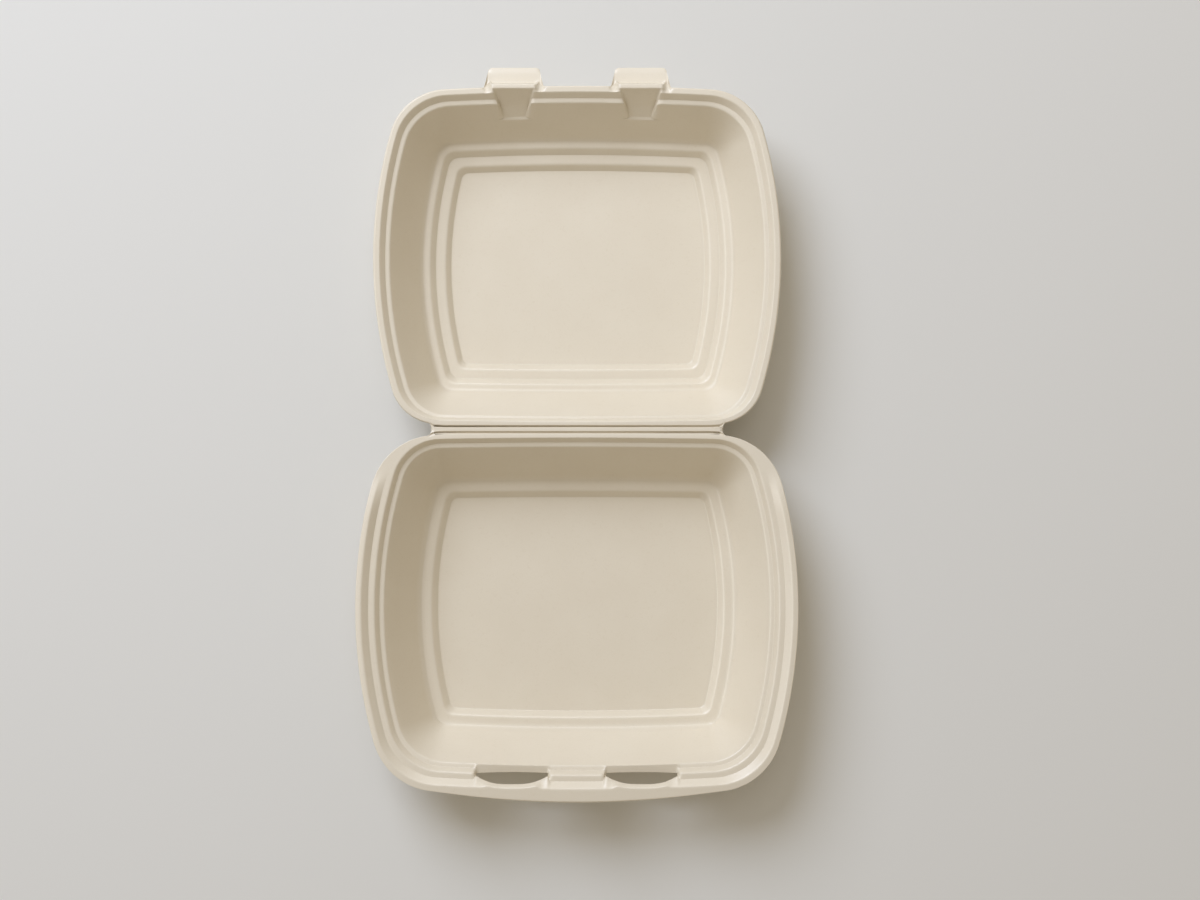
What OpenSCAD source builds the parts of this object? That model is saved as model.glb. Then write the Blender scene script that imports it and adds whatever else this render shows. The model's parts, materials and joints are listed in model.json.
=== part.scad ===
// Hinged takeaway box of moulded plant fibre, opened flat with both trays facing up.
// One sheet is pressed into a base tray, a creased web and a lid tray. The web folds along its ridge,
// so the two halves part there and the lid swings over to close on the base.
// Each half is one skin: a section from rim to floor, carried round a barrel-shaped outline.
// In the sections, o is the distance outwards from the mouth and z the height above the rim plateau.
// In the outlines, x runs across the box and d is the distance from the fold.

/* [Sheet] */
// Thickness of the pressed sheet
sheet_t = 1.6; // [1.2:0.1:2]

/* [Mouth] */
// Width of the base's mouth where its sides bow out most
mouth_w = 210; // [180:1:240]
// Distance from the fold to the front edge of the base's mouth
mouth_front = 182; // [155:1:215]
// Distance from the fold to the back edge of the base's mouth
mouth_back = 9.2; // [8.4:0.1:12]
// Radius of the bowed sides
side_bow_r = 250; // [210:5:400]
// Radius of the nearly straight front edges
front_bow_r = 1400; // [1000:50:3000]
// Radius of the mouth's front corners
mouth_front_r = 27; // [20:1:34]
// Radius of the mouth's back corners
mouth_back_r = 22; // [18:1:28]

/* [Trays] */
// Depth of each tray, from rim plateau to centre panel
tray_depth = 36; // [28:1:46]
// Horizontal run of the base's sloping wall
base_wall_run = 17.3; // [13:0.1:21]
// Horizontal run of the lid's sloping wall
lid_wall_run = 15.5; // [12:0.1:19]
// Size of the rounding at the foot of the walls
wall_foot_round = 1; // [0.8:0.1:1.6]
// Radius of the corners at the foot of the walls
floor_r = 8; // [6.5:0.5:10]
// Radius of the corners of the centre panels
panel_r = 4.5; // [3.5:0.5:6]
// Width of the ledge round the base's foot
foot_ledge_w = 5.9; // [4.5:0.1:7.5]
// Height of the step from that ledge down to the foot
foot_step_h = 2.8; // [2.2:0.1:3.6]
// Width of that step
foot_step_w = 3.4; // [2.7:0.1:4.3]
// Width of the lid's upper floor ledge
lid_ledge_w = 4.3; // [3.4:0.1:5.4]
// Width of the lid's lower floor ledge
lid_second_ledge_w = 5.5; // [4.4:0.1:6.8]
// Height of each of the lid's two floor steps
lid_step_h = 2.6; // [2:0.1:3.2]
// Width of each of the lid's two floor steps
lid_step_w = 3; // [2.4:0.1:3.8]

/* [Rim] */
// Width of the thin ledge at the top of the walls
ledge_w = 2.5; // [2:0.1:3.2]
// Fall of that ledge towards the mouth
ledge_fall = 0.4; // [0.2:0.1:0.6]
// Height of the step from the plateau down to the ledge
seat_step_h = 2.6; // [2.1:0.1:3.2]
// Width of that step on the base
seat_step_w = 2.3; // [1.9:0.1:2.9]
// Width of that step on the lid
lid_seat_step_w = 2.8; // [2.3:0.1:3.4]
// Width of the base's plateau, on which the lid's rim lies
plateau_w = 3.4; // [3.2:0.1:4.2]
// Width of the lid's plateau
lid_plateau_w = 3.6; // [3:0.1:3.8]
// Width of the step from the base's plateau up to its outer lip
lip_step_w = 3.6; // [3:0.1:4.4]
// Height of the outer lip above the plateau
lip_h = 2.6; // [2.1:0.1:3.1]
// Width of the outer lip at the sides
lip_w = 3.2; // [2.6:0.1:4]
// Extra width of the outer lip at the middle of the front
lip_bulge = 4.4; // [3.6:0.1:5.4]
// Radius of the lip's bulging front edge
lip_bow_r = 460; // [380:10:600]
// Distance from the fold at which the lip starts to rise
lip_rise_start = 21; // [17:1:25]
// Distance from the fold at which the lip has its full height
lip_rise_end = 45; // [38:1:54]

/* [Closing] */
// Gap at the sides between the closed lid's rim and the foot of the base's lip
seat_side_gap = 1.3; // [0.8:0.1:2]
// The same gap at the front
seat_front_gap = 0.5; // [0.3:0.1:1]
// How much nearer the fold the lid's mouth starts than the base's
lid_back_gain = 1.6; // [1.2:0.1:2]

/* [Latches] */
// Distance from the middle of the box to each latch
latch_x = 35; // [29:0.5:42]
// Width of each tab where it leaves the lid's rim
tab_w = 32.6; // [27:0.1:39]
// How much narrower each side of a tab is at its tip
tab_taper = 1.9; // [1.5:0.1:2.3]
// How far each tab stands out from the lid's rim
tab_reach = 11.1; // [9:0.1:13.4]
// Radius of the tab's tip corners
tab_corner_r = 2.4; // [1.9:0.1:2.9]
// Gap between a tab's flange and the base's lip when the box is closed
tab_clear = 1.2; // [1:0.1:1.5]
// Width of the leg on each side of a tab's crest
leg_w = 5.3; // [4.4:0.1:6.4]
// Height above the plateau of the crest that drops into the slot
crest_h = 1.5; // [1.2:0.1:1.9]
// Length of the crest's top, from the channel to the tab's flange
crest_top = 2.2; // [2:0.1:2.6]
// Width of the channel behind the crest where it ends on the wall
channel_end_w = 13; // [10.5:0.5:16]
// Depth below the plateau at which the channel ends on the wall
channel_fall = 14; // [11.5:0.5:17]
// Width of the little step out of the channel at its end
channel_step = 1.2; // [0.9:0.1:1.5]
// Room in the slot beside each side of a tab
slot_side_gap = 3; // [2.4:0.1:3.6]
// Room in the slot behind the crest
slot_back_gap = 1.2; // [0.8:0.1:1.6]
// Room in the slot in front of the crest's ends
slot_front_gap = 1; // [0.8:0.1:1.3]
// Fall from the thin ledge to the slot's inner edge
slot_edge_fall = 0.9; // [0.7:0.1:1.2]

/* [Hinge] */
// Width of the web that joins lid and base
web_w = 158.6; // [130:1:170]
// Distance from the fold to the middle of each crease
crease_d = 1.65; // [1.5:0.05:1.75]
// Half the width of each crease
crease_half_w = 0.75; // [0.6:0.05:0.8]
// Depth of each crease
crease_depth = 0.7; // [0.5:0.05:0.9]
// Height of the ridge along the fold above the plateau: half the gap left between the closed rims
ridge_h = 0.15; // [0.1:0.05:0.3]

/* [Hidden] */
fibre = "#DCD3C1";

// Rounded edges: how far the edge turns in and down
edge_in = 0.35;
edge_down = 0.9;
// Share of the lip's height that is left at its outer edge
lip_edge_share = 0.7;
// Share of the sheet's thickness by which the rim's lower edge curls in and down
curl = [0.25, -0.55];
// Run of the short walls beside the slots, the crest and the channel
side_wall_run = 1.3;
// Sideways move of the underside below those walls
side_shift = 0.8 * sheet_t;
// Gap between the web's end and the start of the rounded corner
web_notch = 0.7;
// The web's back edge is taken as an arc this flat
back_bow_r = 4000;
// Radius of the base's outer corners, at front and back, and of the lid's at the back
lip_front_r = mouth_front_r + 9;
lip_back_r = mouth_back_r + 14;
lid_back_r = mouth_back_r + 4;
// Width of the plateau left between the crease and the step, at the back
back_plateau_w = 2.1;
// Room between the crease and the rim's edge beside the web
back_edge_gap = 0.15;
// Shares of the straight edges that the even points and the stations may fill
back_fill = 0.97;
front_fill = 0.94;
// Share of a corner's radius that the web's ends may take up
corner_fill = 0.9;

// Divisions of the outline
back_n = 4;
corner_n = 8;
side_n = 10;
front_start = back_n + 1 + 2 * (corner_n + 1) + side_n - 1;

// Heights and places that both halves share
rim_z = tray_depth + sheet_t;
mouth_mid = (mouth_back + mouth_front) / 2;
ledge_z = -seat_step_h;
mouth_z = ledge_z - ledge_fall;
crease_end = crease_d + crease_half_w;
crease_start = crease_d - crease_half_w;

// Base section, from the outer lip to the foot
seat_o = ledge_w + seat_step_w;
plateau_o = seat_o + plateau_w;
crest_o = plateau_o + lip_step_w;
lip_o = crest_o + lip_w;
foot_ledge_z = foot_step_h - tray_depth;
base_wall_o = -base_wall_run;
foot_ledge_o = base_wall_o - foot_ledge_w;
foot_o = foot_ledge_o - foot_step_w;
base_slope = base_wall_run / (mouth_z - foot_ledge_z);
base_section = [
    [lip_o, lip_h * lip_edge_share - edge_down],
    [lip_o - edge_in, lip_h * lip_edge_share],
    [crest_o, lip_h],
    [crest_o - lip_step_w / 2, lip_h / 2],
    [plateau_o, 0],
    [seat_o, 0],
    [ledge_w, ledge_z],
    [0, mouth_z],
    [base_wall_o + wall_foot_round * base_slope, foot_ledge_z + wall_foot_round],
    [base_wall_o - wall_foot_round / 2, foot_ledge_z + 0.1],
    [foot_ledge_o, foot_ledge_z],
    [foot_o, -tray_depth],
];
base_rows = len(base_section);

// Lid section, from the rim's edge to the centre panel
lid_seat_o = ledge_w + lid_seat_step_w;
lid_rim_o = lid_seat_o + lid_plateau_w;
lid_mouth_w = mouth_w - 2 * (lid_rim_o + seat_side_gap - plateau_o);
lid_mouth_front = mouth_front - (lid_rim_o + seat_front_gap - plateau_o);
lid_mouth_back = mouth_back - lid_back_gain;
lid_ledge_z = 2 * lid_step_h - tray_depth;
lid_second_z = lid_step_h - tray_depth;
lid_wall_o = -lid_wall_run;
lid_ledge_o = lid_wall_o - lid_ledge_w;
lid_second_o = lid_ledge_o - lid_step_w;
lid_second_end_o = lid_second_o - lid_second_ledge_w;
lid_panel_o = lid_second_end_o - lid_step_w;
lid_slope = lid_wall_run / (mouth_z - lid_ledge_z);
channel_end_h = 0.6;
lid_section = [
    [lid_rim_o, -edge_down],
    [lid_rim_o - edge_in, -edge_down / 3],
    [lid_rim_o - edge_down, 0],
    [lid_seat_o + lid_plateau_w * 0.35, 0],
    [lid_seat_o, 0],
    [ledge_w, ledge_z],
    [0, mouth_z],
    [-(channel_fall + mouth_z) * lid_slope, -channel_fall],
    [-(channel_fall + channel_end_h + mouth_z) * lid_slope, -channel_fall - channel_end_h],
    [lid_wall_o + wall_foot_round * lid_slope, lid_ledge_z + wall_foot_round],
    [lid_wall_o - wall_foot_round / 2, lid_ledge_z + 0.1],
    [lid_ledge_o, lid_ledge_z],
    [lid_second_o, lid_second_z],
    [lid_second_end_o, lid_second_z],
    [lid_panel_o, -tray_depth],
];
lid_rows = len(lid_section);

// Rows of the section that form the web between the creases
web_rows = 4;
web_d = [0, crease_start, crease_d, crease_end];
web_z = [ridge_h, ridge_h, -crease_depth, 0];

// Tab: its distances from the fold, and its half widths
tab_rows = 8;
tab_half = tab_w / 2;
tab_tip_half = tab_half - tab_taper;
tab_fall = lip_h + tab_clear - 2 * ridge_h;
tab_tip_fall = 0.6;
crest_half = tab_half - leg_w;
crest_inset = 2;
crest_lean = 1.6;
leg_inset = 2.9;
leg_run = 4.5;
lid_rim_d = lid_mouth_front + lid_rim_o;
tab_tip_d = lid_rim_d + tab_reach;
crest_in_d = lid_rim_d - crest_inset;
// The crest is never so short that the sheet under its top pinches off
crest_out_d = crest_in_d + max(crest_top, 1.35 * sheet_t);
tab_foot_d = crest_out_d + crest_lean;
leg_start_d = lid_rim_d - leg_inset;
leg_end_d = leg_start_d + leg_run;
leg_d = [tab_tip_d, mix(leg_end_d, tab_tip_d, 0.25), leg_end_d, mix(leg_start_d, leg_end_d, 0.45)];
crest_d = [tab_tip_d, tab_foot_d, crest_out_d, crest_in_d];
tab_side_u = tab_half - edge_down;
crest_side_u = crest_half + side_wall_run;
tab_columns = [
    tab_half + side_wall_run,
    tab_half,
    tab_side_u,
    mix(tab_side_u, crest_side_u, 0.5),
    crest_side_u,
    crest_half,
    0,
];
tab_last = len(tab_columns) - 1;
lid_stations = concat(
    [for (u = tab_columns) latch_x + u],
    [for (n = [tab_last - 1:-1:0]) latch_x - tab_columns[n]],
    [0]
);

// Slot: its row numbers, and its edges as distances from the fold
hole_row = 4;
slot_tip_w = 0.8;
slot_bow = 2.8;
slot_round = 1;
slot_lip_run = 1.6;
slot_ridge_w = 0.9;
slot_half = tab_half + slot_side_gap;
slot_inner_d = crest_in_d - slot_back_gap;
slot_tip_d = slot_inner_d + slot_tip_w;
slot_room_d = mix(crest_out_d, tab_foot_d, 0.5) + slot_front_gap;
slot_reach = (slot_room_d - slot_tip_d) / (1 - pow(crest_half / slot_half, slot_bow));
slot_shares = [1, 0.82, 0.58, 0.3, 0, -0.3, -0.58, -0.82, -1];
slot_first = front_start + 1;
slot_last = slot_first + len(slot_shares) - 1;
base_stations = concat(
    [latch_x + slot_half + side_wall_run],
    [for (s = slot_shares) latch_x + slot_half * s],
    [latch_x - slot_half - side_wall_run, 0]
);

function mix(a, b, t) = a + (b - a) * t;
function limit(t) = max(0, min(1, t));
function smooth(t) = let (c = limit(t)) c * c * (3 - 2 * c);
function polar(centre, r, angle) = centre + r * [cos(angle), sin(angle)];
function heading(from, to) = atan2(to.y - from.y, to.x - from.x);

// Centre of a corner arc that touches two larger arcs from inside, on the chosen side of their centre line
function corner_centre(p, p_r, q, q_r, r, side) =
    let (
        v = q - p,
        l = norm(v),
        a = p_r - r,
        b = q_r - r,
        s = (l * l + a * a - b * b) / (2 * l),
        h = sqrt(max(0, a * a - s * s)),
        u = v / l
    )
    p + s * u + side * h * [u.y, -u.x];

// Right half of one outline, from the middle of the back to the middle of the front, as [x, d] points.
// w is the half width, the corner at the back starts no nearer the middle than start_x,
// and the front has a point at each of the stations.
function outline(w, back, front, back_r, front_r, bow_r, side_r, start_x, stations) =
    let (
        side_c = [w - side_r, mouth_mid],
        back_c = [0, back + back_bow_r],
        front_c = [0, front - bow_r],
        corner_b = corner_centre(side_c, side_r, back_c, back_bow_r, back_r, 1),
        corner_f = corner_centre(side_c, side_r, front_c, bow_r, front_r, -1),
        tangent_x = back_bow_r * cos(heading(back_c, corner_b)),
        front_x = bow_r * cos(heading(front_c, corner_f)),
        from_x = max(0, min(corner_fill, (start_x - corner_b.x) / back_r)),
        b0 = start_x > tangent_x ? -acos(from_x) : heading(back_c, corner_b),
        b1 = heading(side_c, corner_b),
        f0 = heading(side_c, corner_f),
        f1 = heading(front_c, corner_f),
        fit = min(1, front_fill * front_x / stations[0])
    )
    concat(
        [for (n = [0:back_n]) let (x = back_fill * tangent_x * n / back_n)
            [x, back_c.y - sqrt(back_bow_r * back_bow_r - x * x)]],
        [for (n = [0:corner_n]) polar(corner_b, back_r, mix(b0, b1, n / corner_n))],
        [for (n = [1:side_n - 1]) polar(side_c, side_r, mix(b1, f0, n / side_n))],
        [for (n = [0:corner_n]) polar(corner_f, front_r, mix(f0, f1, n / corner_n))],
        [for (s = stations) let (x = s * fit) [x, front_c.y + sqrt(bow_r * bow_r - x * x)]]
    );

// Points of the web that stand in for the outermost rows at the back
function web_point(row, k) = [web_w / 2 * k / back_n, web_d[row], web_z[row]];

// Base: how far out each outline lies at the back, its corner radii and the bow of its front
function base_back(o) = lookup(o, [
    [foot_o, mouth_back - foot_o],
    [0, mouth_back],
    [seat_o, crease_end + back_plateau_w],
    [lip_o, crease_end - back_edge_gap],
]);
function base_back_r(o) =
    lookup(o, [[foot_o, panel_r], [base_wall_o, floor_r], [0, mouth_back_r], [lip_o, lip_back_r]]);
function base_front_r(o) =
    lookup(o, [[foot_o, panel_r], [base_wall_o, floor_r], [0, mouth_front_r], [lip_o, lip_front_r]]);
function base_bulge(o) = lip_bulge * limit((o - crest_o) / lip_w);
function base_bow(o) = mix(front_bow_r, lip_bow_r, limit((o - crest_o) / lip_w));
function lip_rise(d) = smooth((d - lip_rise_start) / (lip_rise_end - lip_rise_start));

// Slot: the curved outer edge, and the lip's slope down to it
function front_d(o, x) = mouth_front + o - x * x / (2 * front_bow_r);
function slot_outer_d(x) =
    slot_tip_d + slot_reach * (1 - pow(abs(x - latch_x) / slot_half, slot_bow));
function slot_crest_d(x) = max(front_d(crest_o, x), slot_outer_d(x) + slot_lip_run);
function slot_lip_z(d, x) =
    let (foot_d = front_d(plateau_o, x))
    lip_h * limit((d - foot_d) / (slot_crest_d(x) - foot_d));
function slot_point(row, p) =
    let (outer = slot_outer_d(p.x))
    row == 2 ? [p.x, slot_crest_d(p.x), lip_h] :
    row == 3 ? [p.x, outer + slot_round, slot_lip_z(outer + slot_round, p.x)] :
    row == hole_row ? [p.x, outer, slot_lip_z(outer, p.x) - edge_down] :
    row == hole_row + 1 ? [p.x, slot_inner_d, ledge_z - slot_edge_fall] :
    [p.x, front_d(slot_ridge_w, p.x), ledge_z];

function base_point(row, k, p) =
    let (z = base_section[row].y)
    row < web_rows && k <= back_n ? web_point(row, k) :
    row > 1 && row < 7 && k >= slot_first && k <= slot_last ? slot_point(row, p) :
    row < web_rows ? [p.x, p.y, mix(row == 0 ? -edge_down : 0, z, lip_rise(p.y))] :
    [p.x, p.y, z];

base_top = [for (row = [0:base_rows - 1])
    let (
        o = base_section[row].x,
        start_x = row < web_rows ? web_w / 2 + web_notch : 0,
        points = outline(
            mouth_w / 2 + o, base_back(o), mouth_front + o + base_bulge(o), base_back_r(o), base_front_r(o),
            base_bow(o), side_bow_r + o, start_x, base_stations
        )
    )
    [for (k = [0:len(points) - 1]) base_point(row, k, points[k])]];

// Lid: how far out each outline lies at the back, and its corner radii
function lid_back(o) = lookup(o, [
    [lid_panel_o, lid_mouth_back - lid_panel_o],
    [0, lid_mouth_back],
    [lid_seat_o, crease_end + back_plateau_w],
    [lid_rim_o, crease_end - back_edge_gap],
]);
function lid_back_corner_r(o) =
    lookup(o, [[lid_panel_o, panel_r], [lid_wall_o, floor_r], [0, mouth_back_r], [lid_rim_o, lid_back_r]]);
function lid_front_corner_r(o) =
    lookup(o, [[lid_panel_o, panel_r], [lid_wall_o, floor_r], [0, mouth_front_r], [lip_o, lip_front_r]]);

// Tab: the legs beside the crest, and the rim at their roots, fall from the plateau to the flange,
// and the channel runs down behind the crest
function leg_z(d) =
    -tab_fall * limit((d - leg_start_d) / leg_run)
    - tab_tip_fall * limit((d - tab_foot_d) / (tab_tip_d - tab_foot_d));
function crest_z(row) = row == 0 ? leg_z(tab_tip_d) : row == 1 ? leg_z(tab_foot_d) : crest_h;
channel_end_d = lid_mouth_front + lid_section[tab_rows - 1].x + channel_step;
function channel_share(d) = limit((crest_in_d - d) / (crest_in_d - channel_end_d));
function channel_half(d) = mix(crest_half, channel_end_w / 2, channel_share(d));
function channel_z(d) = mix(crest_h, -channel_fall, channel_share(d));

// Column m of a tab, counted from its side to its middle, as [half width, d, z]
function tab_half_point(row, m, p) =
    let (
        channel = channel_half(p.y),
        channel_d = p.y + (row == tab_rows - 1 ? channel_step : 0),
        side_u = mix(tab_side_u, tab_tip_half, limit((leg_d[min(row, 3)] - lid_rim_d) / tab_reach)),
        tip_u = [for (share = [0, 0.3, 1]) tab_tip_half - tab_corner_r * share],
        tip_d = [for (share = [1, 0.3, 0]) tab_tip_d - tab_corner_r * share]
    )
    m >= 5 && row < 4 ? [m == 6 ? 0 : crest_half, crest_d[row], crest_z(row)] :
    m >= 5 ? [m == 6 ? 0 : channel, channel_d, channel_z(channel_d)] :
    row == 0 ? [tip_u[m - 2], tip_d[m - 2], leg_z(tip_d[m - 2])] :
    m == 4 && row < 4 ? [crest_side_u, leg_d[row], leg_z(leg_d[row])] :
    m == 4 ? [channel + side_wall_run, p.y, lid_section[row].y] :
    row < 4 ? [m == 2 ? side_u : mix(side_u, crest_side_u, 0.5), leg_d[row], leg_z(leg_d[row])] :
    [tab_columns[m], p.y, lid_section[row].y];

function tab_point(row, n, p) =
    let (
        right = n <= tab_last,
        h = tab_half_point(row, right ? n : 2 * tab_last - n, p)
    )
    [latch_x + (right ? h.x : -h.x), h.y, h.z];

function lid_point(row, k, p) =
    let (n = k - front_start)
    row < web_rows && k <= back_n ? web_point(row, k) :
    row < tab_rows && n > 1 && n < 2 * tab_last - 1 ? tab_point(row, n, p) :
    row < 4 && (n == 1 || n == 2 * tab_last - 1) ? [p.x, p.y, min(lid_section[row].y, leg_z(p.y))] :
    [p.x, p.y, lid_section[row].y];

lid_top = [for (row = [0:lid_rows - 1])
    let (
        o = lid_section[row].x,
        start_x = row < web_rows ? web_w / 2 + web_notch : 0,
        points = outline(
            lid_mouth_w / 2 + o, lid_back(o), lid_mouth_front + o, lid_back_corner_r(o),
            lid_front_corner_r(o), front_bow_r, side_bow_r + o, start_x, lid_stations
        )
    )
    [for (k = [0:len(points) - 1]) lid_point(row, k, points[k])]];

// Underside of one column of the skin: each point moves square to the section by the sheet's thickness.
// The web is flat underneath, the rim's edge curls under, and the sheet ends at a slot's edges.
function fall(from, to) =
    let (step = to - from)
    [norm([step.x, step.y]), step.z] / norm(step);
function under_point(column, row, web, slot) =
    let (
        p = column[row],
        last = len(column) - 1,
        start = row <= 1 || (slot && row == hole_row + 1),
        end = slot && row == hole_row,
        ahead = end ? fall(column[row - 1], p) : row == last ? [1, 0] : fall(p, column[row + 1]),
        behind = start ? ahead : fall(column[row - 1], p),
        n_a = [behind.y, -behind.x],
        n_b = [ahead.y, -ahead.x],
        m = sheet_t * (row == 0 ? curl : (n_a + n_b) / (1 + n_a * n_b)),
        before = column[max(0, row - 1)],
        after = column[min(last, row + 1)],
        inward = [after.x - before.x, after.y - before.y],
        h = inward / norm(inward)
    )
    web ? [p.x, p.y, -sheet_t] : [p.x + h.x * m.x, p.y + h.y * m.x, p.z + m.y];

// Both faces of the skin, as rows of right-half points: sideways moves a column's underside along x,
// so that the short walls beside a slot or a channel keep their thickness
function underside(top, sideways, slot_from, slot_to) =
    let (
        rows = len(top),
        columns = [for (k = [0:len(top[0]) - 1]) [for (row = [0:rows - 1]) top[row][k]]]
    )
    [for (row = [0:rows - 1])
        [for (k = [0:len(columns) - 1])
            let (web = row < web_rows && k <= back_n, slot = k >= slot_from && k <= slot_to)
            under_point(columns[k], row, web, slot) + [sideways[row][k], 0, 0]]];

base_sideways = [for (row = [0:base_rows - 1])
    [for (k = [0:len(base_top[0]) - 1])
        row < hole_row + 1 || row > 6 ? 0 :
        k == slot_first || k == slot_first - 1 ? side_shift :
        k == slot_last || k == slot_last + 1 ? -side_shift : 0]];

lid_sideways = [for (row = [0:lid_rows - 1])
    [for (k = [0:len(lid_top[0]) - 1])
        let (
            n = front_start + tab_last - k,
            edge = abs(n) == 1 || abs(n) == 2 ? sign(n) : 0
        )
        row == 2 || row == 3 ? -side_shift * edge : row > 3 && row < 7 ? side_shift * edge : 0]];

// A half row of points with its mirror image, as a closed loop
function loop(half) =
    let (last = len(half) - 1)
    concat(half, [for (k = [last - 1:-1:1]) [-half[k].x, half[k].y, half[k].z]]);

// A closed skin from its two faces; cut_from and cut_to give the columns between which a slot is open
module skin(top, under, cut_from, cut_to) {
    rows = len(top);
    count = 2 * (len(top[0]) - 1);
    all = concat(top, under);
    points = [for (half = all) each loop(half)];
    function id(row, i, side) = (side * rows + row) * count + i % count;
    function cut(i) = (i >= cut_from && i < cut_to) || (i >= count - cut_to && i < count - cut_from);
    function quad(a, b, c, d) = [[a, b, c], [a, c, d]];
    openings = [[cut_from, cut_to], [count - cut_to, count - cut_from]];
    ends = cut_from < cut_to ? [for (o = openings) each [[o[0], 0], [o[1], 1]]] : [];
    faces = concat(
        [for (row = [0:rows - 2]) for (i = [0:count - 1]) if (row != hole_row || !cut(i))
            each quad(id(row + 1, i, 0), id(row + 1, i + 1, 0), id(row, i + 1, 0), id(row, i, 0))],
        [for (row = [0:rows - 2]) for (i = [0:count - 1]) if (row != hole_row || !cut(i))
            each quad(id(row, i, 1), id(row, i + 1, 1), id(row + 1, i + 1, 1), id(row + 1, i, 1))],
        [for (i = [0:count - 1]) each quad(id(0, i, 0), id(0, i + 1, 0), id(0, i + 1, 1), id(0, i, 1))],
        [for (i = [0:count - 1]) if (cut(i)) let (a = hole_row)
            each quad(id(a, i + 1, 0), id(a, i, 0), id(a, i, 1), id(a, i + 1, 1))],
        [for (i = [0:count - 1]) if (cut(i)) let (b = hole_row + 1)
            each quad(id(b, i, 0), id(b, i + 1, 0), id(b, i + 1, 1), id(b, i, 1))],
        [for (e = ends) let (a = hole_row + e[1], b = hole_row + 1 - e[1])
            each quad(id(a, e[0], 0), id(b, e[0], 0), id(b, e[0], 1), id(a, e[0], 1))],
        [[for (i = [count - 1:-1:0]) id(rows - 1, i, 0)]],
        [[for (i = [0:count - 1]) id(rows - 1, i, 1)]]
    );
    polyhedron(points, faces, convexity = 8);
}

// Base tray with its half of the web
module base() {
    under = underside(base_top, base_sideways, slot_first, slot_last);
    color(fibre)
        translate([0, mouth_mid, rim_z])
            mirror([0, 1, 0])
                skin(base_top, under, slot_first, slot_last);
}

// Lid tray with its two tabs and its half of the web
module lid() {
    under = underside(lid_top, lid_sideways, 0, -1);
    color(fibre)
        translate([0, mouth_mid, rim_z])
            skin(lid_top, under, 0, 0);
}

base();
lid();
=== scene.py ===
"""Hinged takeaway box of moulded plant fibre, opened flat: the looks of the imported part.

The box is one pressed sheet. Both halves are drawn out ring by ring, welded along the fold, smoothed
as one skin, and then parted at the creases into a base tray, a hinge web and a lid tray.
In the sections, o is the distance outwards from the mouth and z the height above the rim plateau.
In the outlines, x runs across the box and d is the distance from the fold.
"""

import json
import math

import bmesh
import bpy
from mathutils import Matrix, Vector


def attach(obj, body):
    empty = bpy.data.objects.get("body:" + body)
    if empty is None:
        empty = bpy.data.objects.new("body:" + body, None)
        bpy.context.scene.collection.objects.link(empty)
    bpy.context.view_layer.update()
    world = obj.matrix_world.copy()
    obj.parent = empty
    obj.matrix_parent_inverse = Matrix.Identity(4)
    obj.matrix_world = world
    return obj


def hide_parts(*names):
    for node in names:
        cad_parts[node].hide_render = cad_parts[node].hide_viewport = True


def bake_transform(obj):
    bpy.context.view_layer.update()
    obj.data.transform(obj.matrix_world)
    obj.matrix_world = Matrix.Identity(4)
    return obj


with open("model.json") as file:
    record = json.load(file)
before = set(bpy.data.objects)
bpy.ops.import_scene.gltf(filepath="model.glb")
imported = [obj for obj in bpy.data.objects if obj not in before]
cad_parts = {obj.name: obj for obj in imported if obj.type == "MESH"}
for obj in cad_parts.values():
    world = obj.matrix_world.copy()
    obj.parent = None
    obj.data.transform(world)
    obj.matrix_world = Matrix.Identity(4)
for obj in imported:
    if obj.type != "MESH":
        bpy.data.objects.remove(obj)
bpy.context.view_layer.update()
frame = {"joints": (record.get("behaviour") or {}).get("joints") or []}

bl_info = {
    "name": "Moulded fibre takeaway box",
    "version": (1, 0, 0),
    "blender": (4, 5, 0),
    "location": "3D View > Sidebar > Takeaway box",
    "description": "Presses a hinged takeaway box from a sheet of plant fibre",
    "category": "Object",
}

MM = 0.001

# Divisions of the outlines: half the back, each corner, each side
BACK_COLUMNS = 6
CORNER_COLUMNS = 14
SIDE_COLUMNS = 18
FRONT_START = BACK_COLUMNS + 1 + 2 * (CORNER_COLUMNS + 1) + SIDE_COLUMNS - 1

# Columns beside a latch, and shares of its half width at which columns lie in it
FAR_COLUMN = 5 * MM
NEAR_COLUMN = 1.4 * MM
SLOT_SHARES = [1, 0.93, 0.82, 0.7, 0.58, 0.44, 0.3, 0.15]
LEG_SHARES = [0, 0.25, 0.5, 0.82, 1]
CREST_SHARES = [1, 0.94, 0.5, 0]

# First rows of the sections: those that turn into the web at the back, those that a tab reshapes,
# and of these the ones that its flange draws out past the rim
WEB_ROWS = 4
TAB_ROWS = 8
FLANGE_ROWS = 4
# Rows of the base that a slot reshapes; it is open between the hole row and the next
SLOT_ROWS = range(2, 7)
HOLE_ROW = 4
# Supports beside each row, in millimetres, from the rim to the panel: the nearer, the crisper its edge;
# a row with 0 has none
BASE_CUTS = [0, 0.35, 1.4, 0, 0.25, 1.3, 0.25, 1.2, 0, 0, 1.4, 0.3]
SLOT_CUTS = [0, 0.35, 1.0, 0, 0.25, 0.25, 1.0, 0.3, 0, 0, 1.4, 0.3]
LID_CUTS = [0, 0.3, 0.3, 0.3, 1.3, 0.25, 1.2, 0.4, 0.4, 0, 0, 1.4, 0.3, 1.4, 0.3]
TAB_CUTS = [0, 0.9, 0.9, 0.6, 0.5, 0.25, 0.6, 0.4, 0.4, 0, 0, 1.4, 0.3, 1.4, 0.3]
# A support lies no further than this share of the way to the next row
SUPPORT_REACH = 0.4
# Shares of a panel at which rings lie inside its edge
PANEL_SHARES = [0.985, 0.6]
# Edges that turn more sharply than this are shaded as creases
SHARP_TURN = math.radians(38)

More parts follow.
